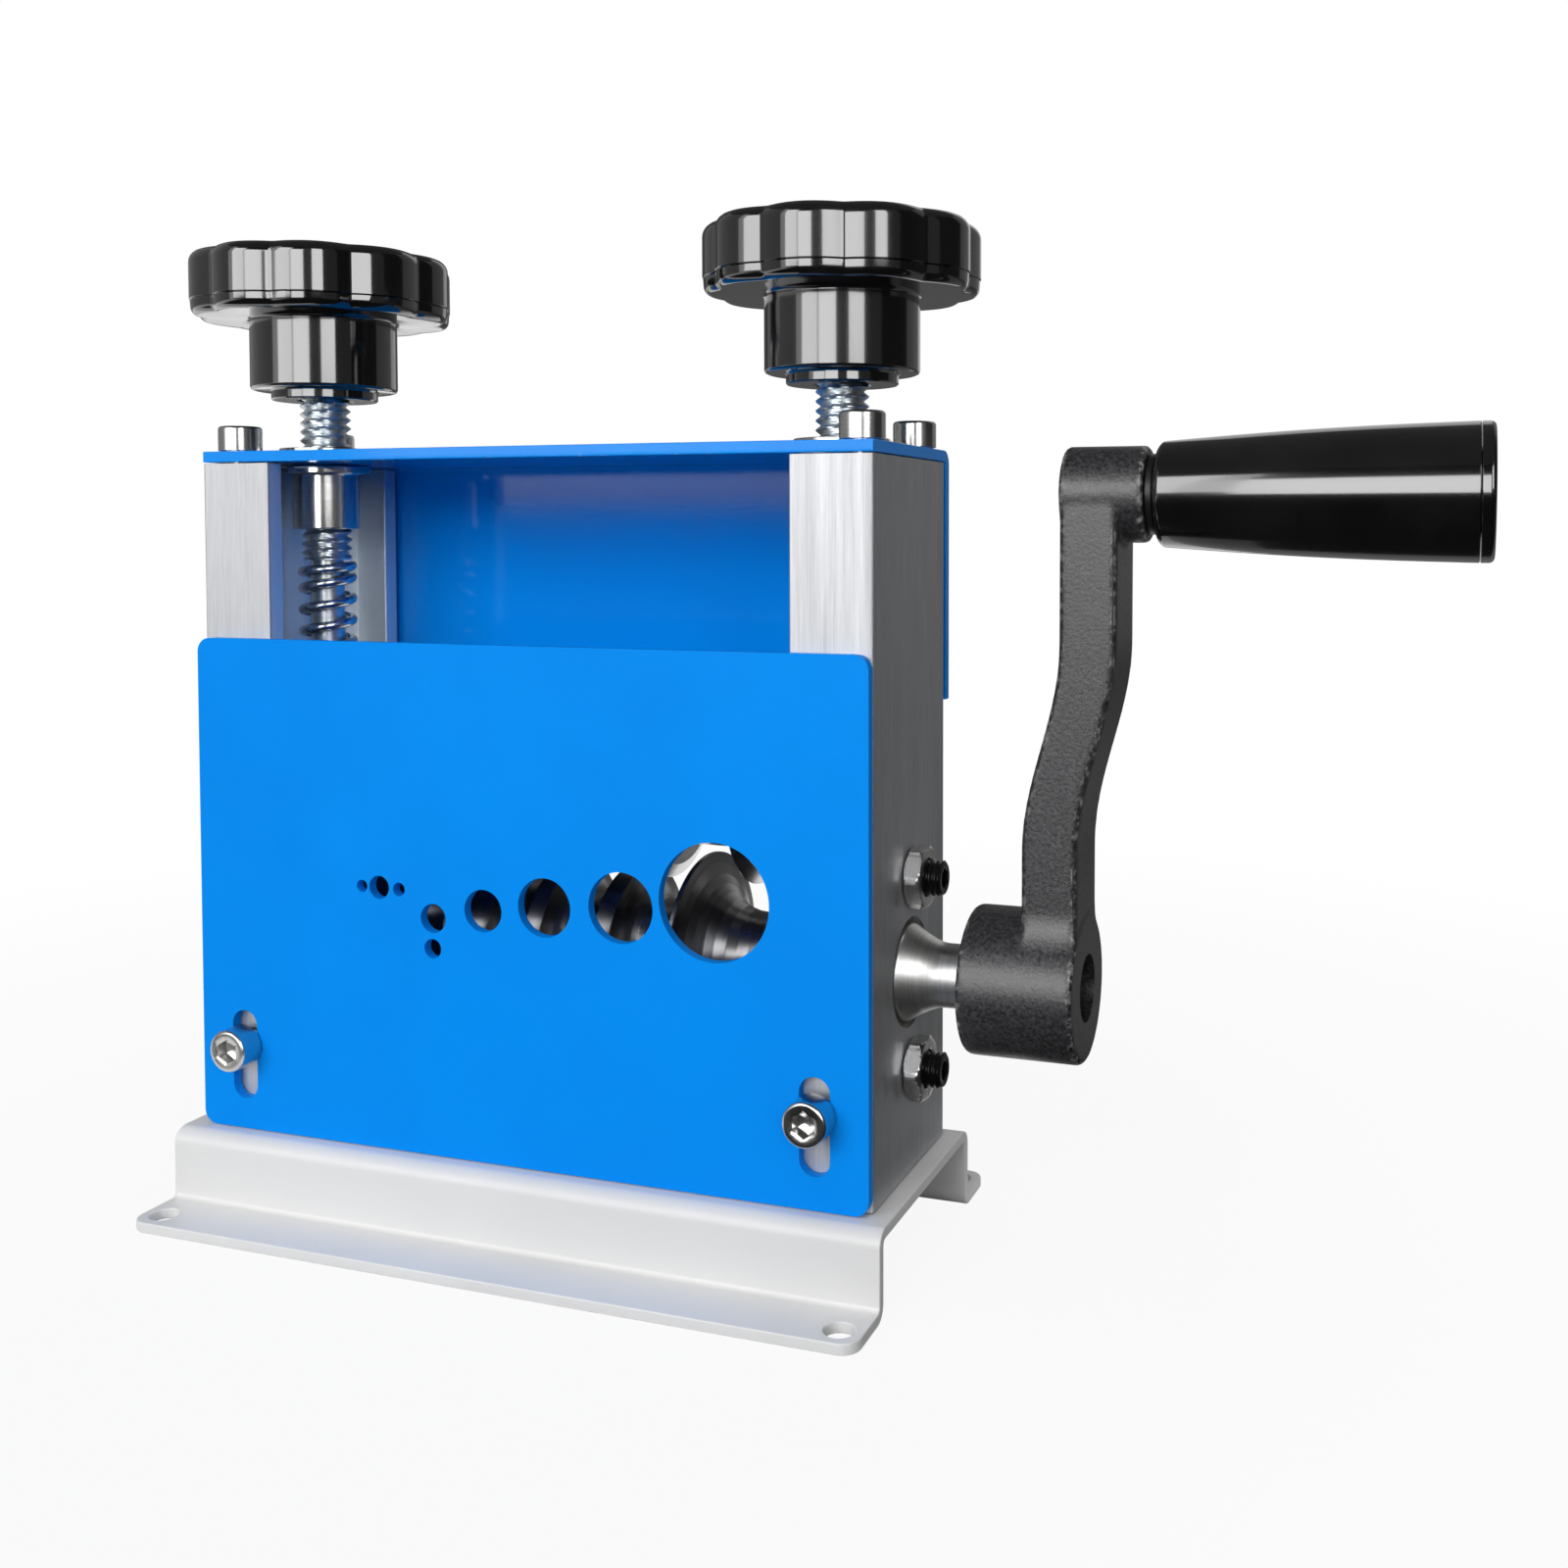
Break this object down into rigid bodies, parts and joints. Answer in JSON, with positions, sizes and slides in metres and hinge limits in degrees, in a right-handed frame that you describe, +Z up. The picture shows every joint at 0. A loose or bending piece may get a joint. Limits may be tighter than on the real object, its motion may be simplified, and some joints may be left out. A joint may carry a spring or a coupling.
{
  "type": "hand crank wire stripper",
  "caption": "Bench wire stripper with a hand crank, a grooved feed roller, round blades pressed down by two knobs through springs, and a panel of wire holes.",
  "frame": {"origin": "on the bench plane, midway between the side channels and under the feed shaft", "axes": "+X runs to the crank, +Y away from the guide panel to where the wire leaves, +Z up"},
  "size_m": [0.3067, 0.0912, 0.2303],
  "materials": {
    "blue_powder_coat": "glossy blue powder coat",
    "grey_paint": "pale grey satin paint",
    "aluminium": "brushed aluminium section",
    "bright_steel": "bright turned steel",
    "zinc_plate": "bright zinc plate",
    "dark_steel": "dark turned steel",
    "blade_steel": "ground tool steel",
    "black_oxide": "black oxide on steel",
    "bronze": "sintered bronze",
    "black_phenolic": "glossy black phenolic",
    "cast_black": "black coated casting"
  },
  "bodies": {
    "frame": {"base_channel": "grey_paint", "left_side_channel": "aluminium", "right_side_channel": "aluminium", "top_cover": "blue_powder_coat", "cover_screw_front_left": "bright_steel", "cover_screw_front_right": "bright_steel", "cover_screw_rear_left": "bright_steel", "cover_screw_rear_right": "bright_steel", "base_screw_front_left": "bright_steel", "base_screw_front_right": "bright_steel", "base_screw_rear_left": "bright_steel", "base_screw_rear_right": "bright_steel", "panel_screw_left": "bright_steel", "panel_screw_right": "bright_steel", "bearing_flange": "aluminium", "right_feed_bush": "bronze", "left_feed_bush": "bronze", "flange_stud_upper": "black_oxide", "flange_stud_lower": "black_oxide", "flange_nut_upper": "bright_steel", "flange_nut_lower": "bright_steel", "left_nut_bush": "zinc_plate", "right_nut_bush": "zinc_plate", "left_top_washer": "zinc_plate", "right_top_washer": "zinc_plate"},
    "guide_panel": {"front_guide_panel": "blue_powder_coat"},
    "feed": {"feed_shaft": "bright_steel", "feed_roller": "dark_steel", "roller_grub_screw": "black_oxide", "shaft_retaining_ring": "black_oxide", "crank_arm": "cast_black", "crank_grub_screw": "black_oxide", "grip_spindle": "bright_steel", "grip_washer": "bright_steel"},
    "grip": {"handle_grip": "black_phenolic", "grip_end_cap": "black_phenolic"},
    "press_stack": {"left_spring": "zinc_plate", "right_spring": "zinc_plate"},
    "left_screw": {"left_knob": "black_phenolic", "left_pressure_screw": "zinc_plate", "left_rod_ring": "black_oxide"},
    "right_screw": {"right_knob": "black_phenolic", "right_pressure_screw": "zinc_plate", "right_rod_ring": "black_oxide"},
    "carriage": {"left_slider_block": "bronze", "right_slider_block": "bronze"},
    "blades": {"blade_shaft": "bright_steel", "blade_shaft_nut": "bright_steel", "blade_1": "blade_steel", "blade_2": "blade_steel", "blade_3": "blade_steel", "blade_4": "blade_steel", "blade_5": "blade_steel", "blade_6": "blade_steel", "blade_spacer_1": "bright_steel", "blade_spacer_2": "bright_steel", "blade_spacer_3": "bright_steel", "blade_spacer_4": "bright_steel", "blade_spacer_5": "bright_steel"}
  },
  "joints": [
    {"name": "crank_turn", "type": "hinge", "parent": "frame", "child": "feed", "pos_m": [0, 0, 0.0643], "axis": [1, 0, 0], "continuous": true},
    {"name": "grip_spin", "type": "hinge", "parent": "feed", "child": "grip", "pos_m": [0.139, 0, 0.1703], "axis": [1, 0, 0], "continuous": true},
    {"name": "guide_panel_height", "type": "slide", "parent": "frame", "child": "guide_panel", "axis": [0, 0, 1], "range_m": [0, 0.008]},
    {"name": "pressure_travel", "type": "slide", "parent": "frame", "child": "press_stack", "axis": [0, 0, 1], "range_m": [-0.0012, 0.007]},
    {"name": "left_knob_turn", "type": "hinge", "parent": "press_stack", "child": "left_screw", "pos_m": [-0.0696, 0, 0.1951], "axis": [0, 0, 1], "range_deg": [-216, 1260]},
    {"name": "right_knob_turn", "type": "hinge", "parent": "press_stack", "child": "right_screw", "pos_m": [0.0696, 0, 0.1951], "axis": [0, 0, 1], "range_deg": [-216, 1260]},
    {"name": "carriage_float", "type": "slide", "parent": "press_stack", "child": "carriage", "axis": [0, 0, 1], "range_m": [0, 0.007], "stiffness_N_per_m": 60000, "springref_m": -0.001, "deforming": ["left_spring", "right_spring"]},
    {"name": "blade_spin", "type": "hinge", "parent": "carriage", "child": "blades", "pos_m": [0, 0, 0.103], "axis": [1, 0, 0], "continuous": true}
  ],
  "couplings": [
    {"joint": "left_knob_turn", "follows": "pressure_travel", "rad_per_m": 3141.5},
    {"joint": "right_knob_turn", "follows": "pressure_travel", "rad_per_m": 3141.5}
  ]
}
